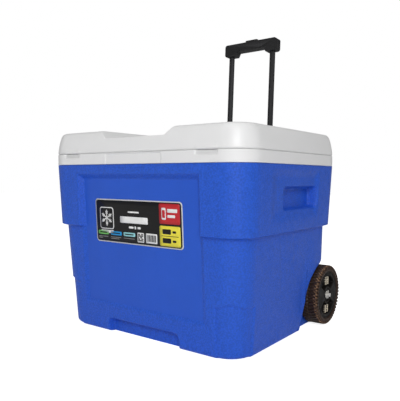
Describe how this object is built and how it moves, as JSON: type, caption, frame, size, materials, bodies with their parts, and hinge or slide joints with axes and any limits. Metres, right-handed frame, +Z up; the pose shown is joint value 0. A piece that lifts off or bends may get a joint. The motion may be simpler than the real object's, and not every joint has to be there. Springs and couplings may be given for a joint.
{
  "type": "cooler on wheels",
  "caption": "Insulated box cooler with a hinged lid, rear corner wheels on an axle and a telescopic tow handle.",
  "frame": {"origin": "on the floor, in the middle of the space the cooler takes up with its tow handle extended", "axes": "+X along the long side towards the right-hand end seen from the front, +Y from the front to the rear with the wheels and tow handle, +Z up"},
  "size_m": [0.5896, 0.522, 0.7779],
  "materials": {
    "blue_shell": "pebble-grained blow-moulded polyethylene, smooth on the front panel",
    "foam": "rigid closed-cell insulation foam, hidden between the walls",
    "white_shell": "fine-grained white polyethylene",
    "white_fitting": "moulded white plastic fittings",
    "label_film": "printed vinyl label with a silver rim",
    "black_frame": "moulded black plastic",
    "black_tube": "black powder coat over steel tube",
    "grip_plastic": "textured black plastic",
    "bright_steel": "zinc-plated steel",
    "wheel_tread": "brown-black moulded tread",
    "wheel_plastic": "black moulded plastic",
    "black_rubber": "soft black rubber"
  },
  "bodies": {
    "cooler_body": {"body_shell": "blue_shell", "foam_core": "foam", "body_liner": "white_shell", "front_label": "label_film", "hinge_base_left": "white_fitting", "hinge_base_right": "white_fitting", "hinge_base_screws": "bright_steel", "hinge_pins": "bright_steel", "rail_bracket_upper": "black_frame", "rail_bracket_lower": "black_frame", "rail_screws": "bright_steel", "outer_tube_left": "black_tube", "outer_tube_right": "black_tube", "tube_bush_left": "black_frame", "tube_bush_right": "black_frame", "axle": "bright_steel", "axle_sleeve": "black_frame", "axle_washers": "bright_steel", "cotter_pins": "bright_steel", "drain_spout": "white_fitting", "drain_gasket": "black_rubber", "drain_nut": "white_fitting"},
    "lid": {"lid_shell": "white_shell", "lid_foam": "foam", "lid_liner": "white_shell", "hinge_leaf_left": "white_fitting", "hinge_leaf_right": "white_fitting", "hinge_leaf_screws": "bright_steel"},
    "tow_handle": {"inner_tube_left": "black_tube", "inner_tube_right": "black_tube", "tube_glide_left": "black_frame", "tube_glide_right": "black_frame", "lock_pins": "bright_steel", "grip_front": "grip_plastic", "grip_rear": "grip_plastic", "grip_screws": "bright_steel", "button_spring": "bright_steel"},
    "release": {"release_button": "grip_plastic", "push_rods": "bright_steel"},
    "wheel_left": {"wheel_tyre_left": "wheel_tread", "wheel_hub_left": "wheel_plastic"},
    "wheel_right": {"wheel_tyre_right": "wheel_tread", "wheel_hub_right": "wheel_plastic"},
    "drain_stopper": {"drain_plug": "white_fitting"}
  },
  "joints": [
    {"name": "lid_hinge", "type": "hinge", "parent": "cooler_body", "child": "lid", "pos_m": [0, 0.20575, 0.449], "axis": [-1, 0, 0], "range_deg": [0, 90]},
    {"name": "handle_slide", "type": "slide", "parent": "cooler_body", "child": "tow_handle", "axis": [0, 0.0523, 0.9986], "range_m": [-0.3, 0]},
    {"name": "button_press", "type": "slide", "parent": "tow_handle", "child": "release", "axis": [0, -0.0523, -0.9986], "range_m": [0, 0.004], "stiffness_N_per_m": 1500, "springref_m": -0.003, "deforming": ["button_spring"]},
    {"name": "wheel_left_spin", "type": "hinge", "parent": "cooler_body", "child": "wheel_left", "pos_m": [-0.265, 0.14596, 0.076], "axis": [1, 0, 0], "continuous": true},
    {"name": "wheel_right_spin", "type": "hinge", "parent": "cooler_body", "child": "wheel_right", "pos_m": [0.265, 0.14596, 0.076], "axis": [1, 0, 0], "continuous": true},
    {"name": "drain_plug_pull", "type": "slide", "parent": "cooler_body", "child": "drain_stopper", "axis": [-1, 0, 0], "range_m": [0, 0.02]}
  ]
}
